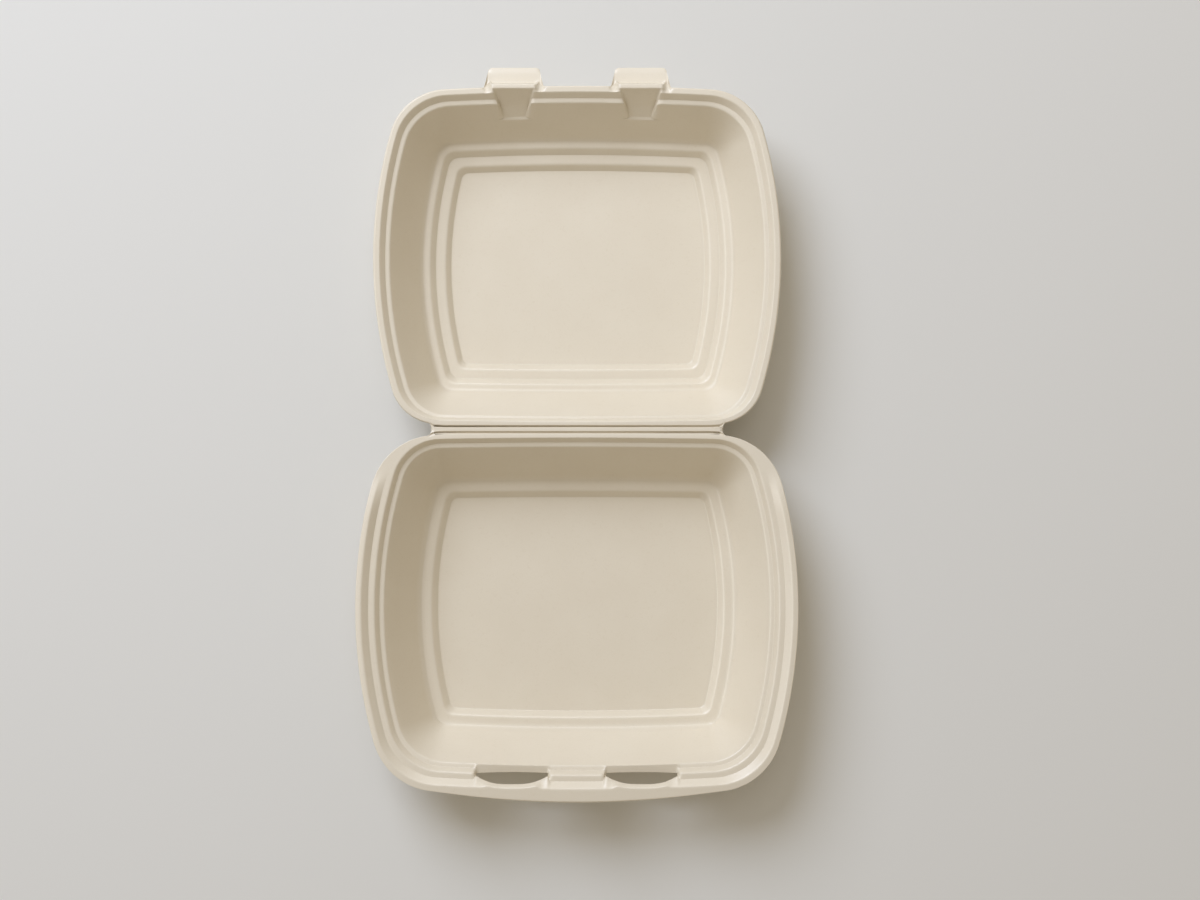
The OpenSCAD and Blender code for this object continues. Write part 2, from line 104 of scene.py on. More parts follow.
# Rims: the rounding of their edges, the run and rise in sheets from an edge to its underside, the lip's
# height at its edge, where a row lies on the lid's plateau, and how much rounder the corners are outside
EDGE_IN = 0.35 * MM
EDGE_DOWN = 0.9 * MM
EDGE_UNDER = Vector((0.25, -0.55))
LIP_EDGE_SHARE = 0.9
LID_PLATEAU_SHARE = 0.35
FRONT_R_GAIN = 9 * MM
LIP_BACK_R_GAIN = 14 * MM
LID_BACK_R_GAIN = 4 * MM
# Rise of the ledges where they meet the foot of the walls
FOOT_RISE = 0.1 * MM

# Back of the trays, beside the web
WEB_NOTCH = 0.7 * MM
BACK_BOW_R = 4.0
BACK_PLATEAU_W = 2.1 * MM
BACK_EDGE_GAP = 0.15 * MM
BACK_FILL = 0.97
CORNER_FILL = 0.9

# Tabs: where the crest and the legs start inside the rim, the crest's least top in sheets and its lean
# towards the flange, the legs' run, the shares at which rows lie before and behind its end, where the
# legs start to rise to the crest, their rounded shoulder, and the tip's fall
CREST_INSET = 2 * MM
CREST_SHEETS = 1.35
CREST_LEAN = 1.6 * MM
LEG_INSET = 2.9 * MM
LEG_RUN = 4.5 * MM
LEG_TIP_SHARE = 0.25
LEG_FOOT_SHARE = 0.45
LEG_BEND_START = 0.35
LEG_SHOULDER = 0.5 * MM
TIP_FALL = 0.6 * MM
# Channels: height of the step at the end, how hollow the floor is, run of the side walls
CHANNEL_END_H = 0.6 * MM
CHANNEL_HOLLOW = 0.9 * MM
SIDE_WALL_RUN = 1.1 * MM

# Slots: width at the tips, power of the outer edge's curve, and how far the inner and outer edges are
# moved towards the mouth, at the middle and at the tips
SLOT_TIP_W = 0.8 * MM
SLOT_BOW = 2.8
SLOT_INNER_SHIFT = (0.8 * MM, 0.3 * MM)
SLOT_OUTER_SHIFT = (1.25 * MM, 0.2 * MM)
# The lip's rounded band round a slot: its rounding, its width, and the share of the slot where it fades
SLOT_ROUND = 1 * MM
SLOT_BAND_W = 2 * MM
SLOT_BAND_END = 0.72
SLOT_BAND_FADE = 0.1
# The ridge between the tray's wall and a slot
SLOT_RIDGE_O = 0.15 * MM
SLOT_RIDGE_H = 0.2 * MM

# Pieces that the sheet is parted into, from front to back, and how near the fold the web's middle is
PIECES = ("base_tray", "hinge_web", "lid_tray")
WEB_REACH = 10 * MM
# Points nearer than this are welded
WELD = 0.01 * MM

# Camera above the open box, in the photo's frame
PHOTO_W = 1200
FOCAL_PX = 1840
SENSOR_W = 36
CAMERA_AT = (0.0125, 0.032, 1.0376)
CAMERA_TILT = math.radians(3)
# Soft boxes: name, spot, target, size, power, tint; those for the sheen only show on rounded edges
LAMPS = (
    ("key", (-0.87, 1.4, 1.45), (0, 0.1, 0.03), 1.45, 36, "#E3ECFF"),
    ("fill", (0, 0.39, 1.3), (0, 0.2, 0), 0.6, 1.1, "#FFFFFF"),
)
SHEEN_LAMPS = (
    ("left_sheen", (-1.15, 0.1, 1.1), (0, 0.1, 0), 1.6, 13, "#FFFFFF"),
    ("back_sheen", (0, 1.3, 1.1), (0, 0.1, 0), 1.6, 9, "#FFFFFF"),
)
ROOM_TINT = "#FFF1DC"
ROOM_STRENGTH = 0.365
FLOOR_SIZE = 6
FLOOR_AT = (0, 0.1, -0.2 * MM)

HINGE = next(joint for joint in frame["joints"] if joint["name"] == "lid_hinge")
FOLD_Y = HINGE["pos_m"][1]


def length(label, millimetres, description):
    """A size property, given in millimetres and kept in metres."""
    return bpy.props.FloatProperty(
        name=label, description=description, default=millimetres * MM, unit="LENGTH", precision=4
    )


def colour(label, default, description):
    """A colour property, kept as a hex value."""
    return bpy.props.StringProperty(name=label, description=description, default=default)


class BoxSizes(bpy.types.PropertyGroup):
    """Sizes of the pressed sheet"""

    sheet_t: length("Sheet", 1.6, "Thickness of the pressed sheet")

    mouth_w: length("Mouth width", 210, "Width of the base's mouth where its sides bow out most")
    mouth_front: length("Mouth front", 182, "From the fold to the front of the base's mouth")
    mouth_back: length("Mouth back", 9.2, "From the fold to the back of the base's mouth")
    side_bow_r: length("Side bow", 250, "Radius of the bowed sides")
    front_bow_r: length("Front bow", 1400, "Radius of the nearly straight front edges")
    mouth_front_r: length("Front corners", 27, "Radius of the mouth's front corners")
    mouth_back_r: length("Back corners", 22, "Radius of the mouth's back corners")

    tray_depth: length("Tray depth", 36, "From the rim plateau to the centre panel")
    base_wall_run: length("Base wall run", 17.3, "Horizontal run of the base's sloping wall")
    lid_wall_run: length("Lid wall run", 15.5, "Horizontal run of the lid's sloping wall")
    wall_foot_round: length("Wall foot", 1, "Rounding at the foot of the walls")
    floor_r: length("Floor corners", 8, "Radius of the corners at the foot of the walls")
    panel_r: length("Panel corners", 4.5, "Radius of the corners of the centre panels")
    foot_ledge_w: length("Foot ledge", 5.9, "Width of the ledge round the base's foot")
    foot_step_h: length("Foot step height", 3.5, "Height of the step down to the foot")
    foot_step_w: length("Foot step width", 3.4, "Width of the step down to the foot")
    lid_ledge_w: length("Upper lid ledge", 4.3, "Width of the lid's upper floor ledge")
    lid_second_ledge_w: length("Lower lid ledge", 5.5, "Width of the lid's lower floor ledge")
    lid_step_h: length("Lid step height", 3.1, "Height of each of the lid's two floor steps")
    lid_step_w: length("Lid step width", 3, "Width of each of the lid's two floor steps")

    ledge_w: length("Thin ledge", 2.5, "Width of the thin ledge at the top of the walls")
    ledge_fall: length("Thin ledge fall", 0.4, "Fall of that ledge towards the mouth")
    seat_step_h: length("Seat step height", 3.2, "From the plateau down to the thin ledge")
    seat_step_w: length("Base seat step", 2.3, "Width of that step on the base")
    lid_seat_step_w: length("Lid seat step", 2.8, "Width of that step on the lid")
    plateau_w: length("Base plateau", 3.4, "Width of the base's plateau, where the lid's rim lies")
    lid_plateau_w: length("Lid plateau", 3.6, "Width of the lid's plateau")
    lip_step_w: length("Lip step", 3.6, "Width of the step up to the base's outer lip")
    lip_h: length("Lip height", 3, "Height of the outer lip above the plateau")
    lip_w: length("Lip width", 3.2, "Width of the outer lip at the sides")
    lip_bulge: length("Lip bulge", 4.4, "Extra width of the lip at the middle of the front")
    lip_bow_r: length("Lip bow", 460, "Radius of the lip's bulging front edge")
    lip_rise_start: length("Lip start", 21, "From the fold to where the lip starts to rise")
    lip_rise_end: length("Lip full", 45, "From the fold to where the lip has its full height")

    seat_side_gap: length("Side gap", 1.3, "Between the closed lid's rim and the lip, at the sides")
    seat_front_gap: length("Front gap", 0.5, "Between the closed lid's rim and the lip, in front")
    lid_back_gain: length("Lid back gain", 1.6, "How much nearer the fold the lid's mouth starts")

    latch_x: length("Latch place", 35, "From the middle of the box to each latch")
    tab_w: length("Tab width", 32.6, "Width of each tab where it leaves the lid's rim")
    tab_taper: length("Tab taper", 1.9, "How much narrower each side of a tab is at its tip")
    tab_reach: length("Tab reach", 11.1, "How far each tab stands out from the lid's rim")
    tab_corner_r: length("Tab corners", 2.4, "Radius of the tab's tip corners")
    tab_clear: length("Tab clearance", 0.8, "Between a tab and the base's lip when closed")
    leg_w: length("Leg width", 5.6, "Width of the leg on each side of a tab's crest")
    crest_h: length("Crest height", 1.5, "Height of the crest that drops into the slot")
    crest_top: length("Crest top", 2.2, "Length of the crest's top")
    channel_end_w: length("Channel end", 12, "Width of the channel where it ends on the wall")
    channel_fall: length("Channel fall", 14, "Depth at which the channel ends on the wall")
    channel_step: length("Channel step", 1.2, "Width of the little step out of the channel at its end")
    slot_side_gap: length("Slot side gap", 3, "Room in the slot beside each side of a tab")
    slot_back_gap: length("Slot back gap", 1.2, "Room in the slot behind the crest")
    slot_front_gap: length("Slot front gap", 1, "Room in the slot in front of the crest's ends")
    slot_edge_fall: length("Slot edge fall", 0.9, "Fall from the thin ledge to the slot's inner edge")

    web_w: length("Web width", 158.6, "Width of the web that joins lid and base")
    crease_d: length("Crease place", 1.65, "From the fold to the middle of each crease")
    crease_half_w: length("Crease half width", 0.75, "Half the width of each crease")
    crease_depth: length("Crease depth", 0.9, "Depth of each crease")
    ridge_h: length("Ridge height", 0.15, "Height of the ridge along the fold")


class BoxFinish(bpy.types.PropertyGroup):
    """Colours of the fibre and the studio"""

    fibre: colour("Fibre", "#E7DDC8", "Colour of the pressed plant fibre")
    fibre_pale: colour("Pale fibre", "#EBE2CE", "Paler clouds in the sheet")
    fibre_dark: colour("Dark fibre", "#DDD1B8", "Darker specks of stalk in the sheet")
    # Painted shade: this dark colour is mixed in where ambient occlusion finds inside corners, step feet and
    # creases
    fibre_painted_shade: colour("Painted corner shade", "#A8946F", "Painted shade in the inside corners")
    floor: colour("Floor", "#E7E6E0", "Colour of the studio floor")


# Plan of the sheet: the cage from which both halves are drawn


def mix(a, b, t):
    return a + (b - a) * t


def limit(t):
    return max(0.0, min(1.0, t))


def smooth(t):
    t = limit(t)
    return t * t * (3 - 2 * t)


def lookup(o, table):
    """Value at o on a line through the [o, value] pairs of the table."""
    if o <= table[0][0]:
        return table[0][1]
    for (o0, v0), (o1, v1) in zip(table, table[1:]):
        if o <= o1:
            return mix(v0, v1, (o - o0) / (o1 - o0))
    return table[-1][1]


def corner_centre(p, p_r, q, q_r, r, side):
    """Centre of a corner arc that touches two larger arcs from inside."""
    v = q - p
    a, b = p_r - r, q_r - r
    along = (v.length_squared + a * a - b * b) / (2 * v.length)
    across = math.sqrt(max(0.0, a * a - along * along))
    u = v.normalized()
    return p + along * u + side * across * Vector((u.y, -u.x))


def heading(a, b):
    return math.atan2(b.y - a.y, b.x - a.x)


def polar(centre, r, angle):
    return centre + r * Vector((math.cos(angle), math.sin(angle)))


def outline(w, back, front, back_r, front_r, bow_r, side_r, mid, start_x, stations):
    """Right half of one outline, from the middle of the back to the middle of the front, as (x, d)."""
    side_c = Vector((w - side_r, mid))
    back_c = Vector((0, back + BACK_BOW_R))
    front_c = Vector((0, front - bow_r))
    corner_b = corner_centre(side_c, side_r, back_c, BACK_BOW_R, back_r, 1)
    corner_f = corner_centre(side_c, side_r, front_c, bow_r, front_r, -1)
    b0 = heading(back_c, corner_b)
    tangent_x = BACK_BOW_R * math.cos(b0)
    if start_x > tangent_x:
        b0 = -math.acos(limit(min(CORNER_FILL, (start_x - corner_b.x) / back_r)))
    b1 = heading(side_c, corner_b)
    f0 = heading(side_c, corner_f)
    f1 = heading(front_c, corner_f)
    points = []
    for n in range(BACK_COLUMNS + 1):
        x = BACK_FILL * tangent_x * n / BACK_COLUMNS
        points.append(Vector((x, back_c.y - math.sqrt(BACK_BOW_R**2 - x * x))))
    for n in range(CORNER_COLUMNS + 1):
        points.append(polar(corner_b, back_r, mix(b0, b1, n / CORNER_COLUMNS)))
    for n in range(1, SIDE_COLUMNS):
        points.append(polar(side_c, side_r, mix(b1, f0, n / SIDE_COLUMNS)))
    for n in range(CORNER_COLUMNS + 1):
        points.append(polar(corner_f, front_r, mix(f0, f1, n / CORNER_COLUMNS)))
    for x in stations:
        points.append(Vector((x, front_c.y + math.sqrt(bow_r**2 - x * x))))
    return points


class Plan:
    """Places that follow from the sizes and that both halves share."""

    def __init__(self, s):
        self.s = s
        self.rim_z = s.tray_depth + s.sheet_t
        self.mid = (s.mouth_back + s.mouth_front) / 2
        self.ledge_z = -s.seat_step_h
        self.mouth_z = self.ledge_z - s.ledge_fall
        self.crease_end = s.crease_d + s.crease_half_w
        crease_start = s.crease_d - s.crease_half_w
        self.web_d = [0, crease_start, s.crease_d, self.crease_end]
        self.web_z = [s.ridge_h, s.ridge_h, -s.crease_depth, 0]

        self.seat_o = s.ledge_w + s.seat_step_w
        self.plateau_o = self.seat_o + s.plateau_w
        self.crest_o = self.plateau_o + s.lip_step_w
        self.lip_o = self.crest_o + s.lip_w

        self.lid_seat_o = s.ledge_w + s.lid_seat_step_w
        self.lid_rim_o = self.lid_seat_o + s.lid_plateau_w
        self.lid_mouth_w = s.mouth_w - 2 * (self.lid_rim_o + s.seat_side_gap - self.plateau_o)
        self.lid_mouth_front = s.mouth_front - (self.lid_rim_o + s.seat_front_gap - self.plateau_o)

        self.tab_half = s.tab_w / 2
        self.tab_tip_half = self.tab_half - s.tab_taper
        self.tab_side_u = self.tab_half - EDGE_DOWN
        self.tab_fall = s.lip_h + s.tab_clear - 2 * s.ridge_h
        self.crest_half = self.tab_half - s.leg_w
        self.crest_side_u = self.crest_half + SIDE_WALL_RUN
        self.lid_rim_d = self.lid_mouth_front + self.lid_rim_o
        self.tab_tip_d = self.lid_rim_d + s.tab_reach
        self.crest_in_d = self.lid_rim_d - CREST_INSET
        self.crest_out_d = self.crest_in_d + max(s.crest_top, CREST_SHEETS * s.sheet_t)
        self.tab_foot_d = self.crest_out_d + CREST_LEAN
        self.leg_start_d = self.lid_rim_d - LEG_INSET

        self.slot_half = self.tab_half + s.slot_side_gap
        self.slot_inner_d = self.crest_in_d - s.slot_back_gap
        self.slot_tip_d = self.slot_inner_d + SLOT_TIP_W
        room_d = mix(self.crest_out_d, self.tab_foot_d, 0.5) + s.slot_front_gap
        taken = (self.crest_half / self.slot_half) ** SLOT_BOW
        self.slot_reach = (room_d - self.slot_tip_d) / (1 - taken)

    def front_d(self, o, x):
        """Where the front line that lies o outside the mouth is at x."""
        return self.s.mouth_front + o - x * x / (2 * self.s.front_bow_r)

    def slot_share(self, x):
        """How far x is from the slot's middle: 1 at its tips."""
        return abs(x - self.s.latch_x) / self.slot_half

    def slot_inner_edge_d(self, x):
        return self.slot_inner_d - mix(*SLOT_INNER_SHIFT, self.slot_share(x) ** 2)

    def slot_outer_edge_d(self, x):
        share = self.slot_share(x)
        outer = self.slot_tip_d + self.slot_reach * (1 - share**SLOT_BOW)
        return outer - mix(*SLOT_OUTER_SHIFT, share**2)

    def slot_crest_d(self, x):
        """The lip's crest, which follows the slot's outer edge and is straight beside it."""
        near = 1 - smooth((self.slot_share(x) - SLOT_BAND_END) / SLOT_BAND_FADE)
        return mix(self.front_d(self.crest_o, x), self.slot_outer_edge_d(x) + SLOT_BAND_W, near)

    def slot_lip_z(self, d, x):
        """Height of the lip's step at a slot."""
        foot_d = self.front_d(self.plateau_o, x)
        return self.s.lip_h * limit((d - foot_d) / (self.slot_crest_d(x) - foot_d))

    def web_point(self, row, k):
        """A point of the web's right half, k columns from its middle."""
        return Vector((self.s.web_w / 2 * k / BACK_COLUMNS, self.web_d[row], self.web_z[row]))

    def start_x(self, row):
        """Where a row's back corner starts: beside the web in the rows that turn into it."""
        return self.s.web_w / 2 + WEB_NOTCH if row < WEB_ROWS else 0


def base_cage(plan):
    """Rows of points over the base's right half, from the lip's edge to the foot; the slot's end columns."""
    s = plan.s
    foot_z = s.foot_step_h - s.tray_depth
    wall_o = -s.base_wall_run
    ledge_o = wall_o - s.foot_ledge_w
    foot_o = ledge_o - s.foot_step_w
    slope = s.base_wall_run / (plan.mouth_z - foot_z)
    section = [
        (plan.lip_o, s.lip_h * LIP_EDGE_SHARE - EDGE_DOWN),
        (plan.lip_o - EDGE_IN, s.lip_h * LIP_EDGE_SHARE),
        (plan.crest_o, s.lip_h),
        (plan.crest_o - s.lip_step_w / 2, s.lip_h / 2),
        (plan.plateau_o, 0),
        (plan.seat_o, 0),
        (s.ledge_w, plan.ledge_z),
        (0, plan.mouth_z),
        (wall_o + s.wall_foot_round * slope, foot_z + s.wall_foot_round),
        (wall_o - s.wall_foot_round / 2, foot_z + FOOT_RISE),
        (ledge_o, foot_z),
        (foot_o, -s.tray_depth),
    ]
    backs = [
        (foot_o, s.mouth_back - foot_o),
        (0, s.mouth_back),
        (plan.seat_o, plan.crease_end + BACK_PLATEAU_W),
        (plan.lip_o, plan.crease_end - BACK_EDGE_GAP),
    ]
    floor_rs = [(foot_o, s.panel_r), (wall_o, s.floor_r)]
    back_rs = floor_rs + [(0, s.mouth_back_r), (plan.lip_o, s.mouth_back_r + LIP_BACK_R_GAIN)]
    front_rs = floor_rs + [(0, s.mouth_front_r), (plan.lip_o, s.mouth_front_r + FRONT_R_GAIN)]

    # Columns of the front: beside the slot, across it, and on to the middle of the box
    shares = SLOT_SHARES + [0] + [-share for share in reversed(SLOT_SHARES)]
    pocket = plan.slot_half + SIDE_WALL_RUN
    stations = [s.latch_x + pocket + gap for gap in (FAR_COLUMN, NEAR_COLUMN, 0)]
    slot_first = FRONT_START + len(stations)
    stations += [s.latch_x + plan.slot_half * share for share in shares]
    slot_last = slot_first + len(shares) - 1
    inner = s.latch_x - pocket
    stations += [inner, inner - NEAR_COLUMN, inner / 2, 0]

    def slot_point(row, x):
        """A point round the slot: the lip's crest and rounded edge, the two edges, and the ridge."""
        outer = plan.slot_outer_edge_d(x)
        rounded = outer + SLOT_ROUND
        return {
            2: (x, plan.slot_crest_d(x), s.lip_h),
            3: (x, rounded, plan.slot_lip_z(rounded, x)),
            4: (x, outer, plan.slot_lip_z(outer, x) - EDGE_DOWN),
            5: (x, plan.slot_inner_edge_d(x), plan.ledge_z - s.slot_edge_fall),
            6: (x, plan.front_d(SLOT_RIDGE_O, x), plan.ledge_z + SLOT_RIDGE_H),
        }[row]

    cage = []
    for row, (o, z) in enumerate(section):
        past = limit((o - plan.crest_o) / s.lip_w)
        points = outline(
            s.mouth_w / 2 + o,
            lookup(o, backs),
            s.mouth_front + o + s.lip_bulge * past,
            lookup(o, back_rs),
            lookup(o, front_rs),
            mix(s.front_bow_r, s.lip_bow_r, past),
            s.side_bow_r + o,
            plan.mid,
            plan.start_x(row),
            stations,
        )
        line = []
        for k, p in enumerate(points):
            if row < WEB_ROWS and k <= BACK_COLUMNS:
                line.append(plan.web_point(row, k))
            elif row in SLOT_ROWS and slot_first <= k <= slot_last:
                line.append(Vector(slot_point(row, p.x)))
            elif row < WEB_ROWS:
                rise = smooth((p.y - s.lip_rise_start) / (s.lip_rise_end - s.lip_rise_start))
                line.append(Vector((p.x, p.y, mix(-EDGE_DOWN if row == 0 else 0, z, rise))))
            else:
                line.append(Vector((p.x, p.y, z)))
        cage.append(line)
    return cage, slot_first, slot_last


def lid_cage(plan):
    """Rows of points over the lid's right half, from the rim's edge to the panel; the tab's end columns."""
    s = plan.s
    upper_z = 2 * s.lid_step_h - s.tray_depth
    lower_z = s.lid_step_h - s.tray_depth
    wall_o = -s.lid_wall_run
    upper_o = wall_o - s.lid_ledge_w
    lower_o = upper_o - s.lid_step_w
    lower_end_o = lower_o - s.lid_second_ledge_w
    panel_o = lower_end_o - s.lid_step_w
    slope = s.lid_wall_run / (plan.mouth_z - upper_z)
    end_fall = s.channel_fall + CHANNEL_END_H
    section = [
        (plan.lid_rim_o, -EDGE_DOWN),
        (plan.lid_rim_o - EDGE_IN, -EDGE_DOWN / 3),
        (plan.lid_rim_o - EDGE_DOWN, 0),
        (plan.lid_seat_o + s.lid_plateau_w * LID_PLATEAU_SHARE, 0),
        (plan.lid_seat_o, 0),
        (s.ledge_w, plan.ledge_z),
        (0, plan.mouth_z),
        (-(s.channel_fall + plan.mouth_z) * slope, -s.channel_fall),
        (-(end_fall + plan.mouth_z) * slope, -end_fall),
        (wall_o + s.wall_foot_round * slope, upper_z + s.wall_foot_round),
        (wall_o - s.wall_foot_round / 2, upper_z + FOOT_RISE),
        (upper_o, upper_z),
        (lower_o, lower_z),
        (lower_end_o, lower_z),
        (panel_o, -s.tray_depth),
    ]
    mouth_back = s.mouth_back - s.lid_back_gain
    backs = [
        (panel_o, mouth_back - panel_o),
        (0, mouth_back),
        (plan.lid_seat_o, plan.crease_end + BACK_PLATEAU_W),
        (plan.lid_rim_o, plan.crease_end - BACK_EDGE_GAP),
    ]
    floor_rs = [(panel_o, s.panel_r), (wall_o, s.floor_r)]
    back_rs = floor_rs + [(0, s.mouth_back_r), (plan.lid_rim_o, s.mouth_back_r + LID_BACK_R_GAIN)]
    front_rs = floor_rs + [(0, s.mouth_front_r), (plan.lip_o, s.mouth_front_r + FRONT_R_GAIN)]

    # A tab's columns from its side to its middle: plain rim beside it, the leg, the crest
    columns = [("rim", plan.tab_half + SIDE_WALL_RUN), ("rim", plan.tab_half)]
    columns += [("leg", share) for share in LEG_SHARES]
    columns += [("crest", share) for share in CREST_SHARES]

    def column_u(kind, value):
        """Distance of a column from the tab's middle."""
        if kind == "rim":
            return value
        if kind == "leg":
            return mix(plan.tab_side_u, plan.crest_side_u, value)
        return plan.crest_half * value

    both = [(kind, value, 1) for kind, value in columns]
    both += [(kind, value, -1) for kind, value in reversed(columns[:-1])]
    outer = s.latch_x + plan.tab_half + SIDE_WALL_RUN
    inner = s.latch_x - plan.tab_half - SIDE_WALL_RUN
    stations = [outer + FAR_COLUMN, outer + NEAR_COLUMN]
    tab_start = FRONT_START + len(stations)
    tab_end = tab_start + len(both) - 1
    stations += [s.latch_x + side * column_u(kind, value) for kind, value, side in both]
    stations += [inner - NEAR_COLUMN, inner / 2, 0]

    # Where the flange's rows lie on the legs and on the crest, from the tip inwards
    leg_end_d = plan.leg_start_d + LEG_RUN
    leg_ds = [
        plan.tab_tip_d,
        mix(leg_end_d, plan.tab_tip_d, LEG_TIP_SHARE),
        leg_end_d,
        mix(plan.leg_start_d, leg_end_d, LEG_FOOT_SHARE),
    ]
    crest_ds = [plan.tab_tip_d, plan.tab_foot_d, plan.crest_out_d, plan.crest_in_d]
    channel_end_d = plan.lid_mouth_front + section[TAB_ROWS - 1][0] + s.channel_step

    def leg_z(d):
        leg_fall = plan.tab_fall * limit((d - plan.leg_start_d) / LEG_RUN)
        return -leg_fall - TIP_FALL * limit((d - plan.tab_foot_d) / (plan.tab_tip_d - plan.tab_foot_d))

    def crest_z(row):
        return s.crest_h if row > 1 else leg_z(crest_ds[row])

    def channel_share(d):
        """How far along the channel d is: 0 at the crest, 1 at the end."""
        return limit((plan.crest_in_d - d) / (plan.crest_in_d - channel_end_d))

    def tab_point(row, kind, value, p):
        """Half width, d and z of a tab's point."""
        z = section[row][1]
        channel = mix(plan.crest_half, s.channel_end_w / 2, channel_share(p.y))
        if kind == "crest":
            if row < FLANGE_ROWS:
                return plan.crest_half * value, crest_ds[row], crest_z(row)
            d = p.y + (s.channel_step if row == TAB_ROWS - 1 else 0)
            share = channel_share(d)
            hollow = CHANNEL_HOLLOW * math.sin(math.pi * share)
            return channel * value, d, mix(s.crest_h, -s.channel_fall, share) - hollow
        if row == 0:
            turn = math.radians(90) * value
            tip_u = plan.tab_tip_half - s.tab_corner_r * (1 - math.cos(turn))
            tip_d = plan.tab_tip_d - s.tab_corner_r * (1 - math.sin(turn))
            return tip_u, tip_d, leg_z(tip_d)
        if row < FLANGE_ROWS:
            leg_d = leg_ds[row]
            out = limit((leg_d - plan.lid_rim_d) / s.tab_reach)
            side_u = mix(plan.tab_side_u, plan.tab_tip_half, out)
            bend = smooth((value - LEG_BEND_START) / (1 - LEG_BEND_START))
            d = mix(leg_d, crest_ds[row], bend)
            return mix(side_u, plan.crest_side_u, value), d, mix(leg_z(leg_d), crest_z(row), bend)
        if row == FLANGE_ROWS:
            z += LEG_SHOULDER * value
        if value == 1:
            return channel + SIDE_WALL_RUN, p.y, z
        return column_u(kind, value), p.y, z

    cage = []
    for row, (o, z) in enumerate(section):
        points = outline(
            plan.lid_mouth_w / 2 + o,
            lookup(o, backs),
            plan.lid_mouth_front + o,
            lookup(o, back_rs),
            lookup(o, front_rs),
            s.front_bow_r,
            s.side_bow_r + o,
            plan.mid,
            plan.start_x(row),
            stations,
        )
        line = []
        for k, p in enumerate(points):
            on_tab = row < TAB_ROWS and tab_start <= k <= tab_end
            kind, value, side = both[k - tab_start] if on_tab else ("rim", 0, 1)
            if row < WEB_ROWS and k <= BACK_COLUMNS:
                line.append(plan.web_point(row, k))
            elif kind != "rim":
                u, d, tab_z = tab_point(row, kind, value, p)
                line.append(Vector((s.latch_x + side * u, d, tab_z)))
            elif row < FLANGE_ROWS and value == plan.tab_half:
                line.append(Vector((p.x, p.y, min(z, leg_z(p.y)))))
            else:
                line.append(Vector((p.x, p.y, z)))
        cage.append(line)
    return cage, tab_start, tab_end


def fall(a, b):
    """Slope of the section from a to b, as a unit vector of run and rise."""
    run = math.hypot(b.x - a.x, b.y - a.y)
    return Vector((run, b.z - a.z)).normalized()


def under_column(column, web, slot, sheet_t):
    """Underside of one column: each point moves square to the section by the sheet's thickness."""
    last = len(column) - 1
    under = []
    for row, p in enumerate(column):
        if web and row < WEB_ROWS:
            under.append(Vector((p.x, p.y, -sheet_t)))
            continue
        if slot and row == HOLE_ROW:
            ahead = fall(column[row - 1], p)
        elif row == last:
            ahead = Vector((1, 0))
        else:
            ahead = fall(p, column[row + 1])
        start = row <= 1 or (slot and row == HOLE_ROW + 1)
        behind = ahead if start else fall(column[row - 1], p)
        n_a, n_b = Vector((behind.y, -behind.x)), Vector((ahead.y, -ahead.x))
        move = (n_a + n_b) / (1 + n_a.dot(n_b))
        if row == 0:
            move = EDGE_UNDER
        inward = (column[min(last, row + 1)] - column[max(0, row - 1)]).to_2d().normalized()
        under.append(p + sheet_t * Vector((inward.x * move.x, inward.y * move.x, move.y)))
    return under


def tighten(column, cuts):
    """The column with a support point on each side of every point that has a cut."""
    tight = []
    for row, (p, cut) in enumerate(zip(column, cuts)):
        before = column[row - 1] - p if row > 0 else None
        after = column[row + 1] - p if row < len(column) - 1 else None
        if cut and before:
            tight.append(p + before * min(SUPPORT_REACH, cut / before.length))
        tight.append(p)
        if cut and after:
            tight.append(p + after * min(SUPPORT_REACH, cut / after.length))
    return tight


def row_index(row, cuts):
    """Index of a row among the tightened rows."""
    return row + sum(2 for cut in cuts[:row] if cut) + (1 if cuts[row] and row > 0 else 0)


# Modelling


def place(half, side, plan):
    """A half row as a closed loop in the part's frame: side is -1 for the base and 1 for the lid."""
    mirrored = [Vector((-p.x, p.y, p.z)) for p in half[-2:0:-1]]
    return [Vector((p.x, FOLD_Y + side * p.y, plan.rim_z + p.z)) for p in half + mirrored]


def panel_rings(ring):
    """Rings that carry a panel's edge towards its middle."""
    centre = sum(ring, Vector()) / len(ring)
    return [[mix(centre, p, share) for p in ring] for share in PANEL_SHARES]


class Skin:
    """Closed loops over one half of the sheet: the top from panel to rim, then the underside back again.
    Its latch columns have supports of their own, and in a slot the underside is parted at the hole."""

    def __init__(self, cage, cuts, side, plan, latch, latch_cuts, slot=False):
        self.cuts = [cut * MM for cut in cuts]
        tops, unders = [], []
        for k, column in enumerate(zip(*cage)):
            in_latch = latch[0] <= k <= latch[1]
            under = under_column(column, k <= BACK_COLUMNS, slot and in_latch, plan.s.sheet_t)
            softness = [cut * MM for cut in latch_cuts] if in_latch else self.cuts
            tops.append(tighten(column, softness))
            unders.append(tighten(under, softness))
        top = [place(list(row), side, plan) for row in zip(*tops)]
        under = [place(list(row), side, plan) for row in zip(*unders)]
        inner_top, inner_under = panel_rings(top[-1]), panel_rings(under[-1])
        self.rings = inner_top[::-1] + top[::-1] + under + inner_under
        self.count = len(self.rings[0])
        self.rim = len(inner_top) + len(top) - 1

    def top_ring(self, row):
        return self.rim - row_index(row, self.cuts)

    def under_ring(self, row):
        return self.rim + 1 + row_index(row, self.cuts)


def start_clean():
    """Leaves edit mode and deselects everything."""
    if bpy.context.mode != "OBJECT":
        bpy.ops.object.mode_set(mode="OBJECT")
    bpy.ops.object.select_all(action="DESELECT")


def edit(obj):
    """Opens one object in edit mode with nothing selected, and gives its mesh."""
    start_clean()
    obj.select_set(True)
    bpy.context.view_layer.objects.active = obj
    bpy.ops.object.mode_set(mode="EDIT")
    bpy.ops.mesh.select_all(action="DESELECT")
    return edit_mesh(obj)


def edit_mesh(obj):
    bm = bmesh.from_edit_mesh(obj.data)
    bm.verts.ensure_lookup_table()
    return bm


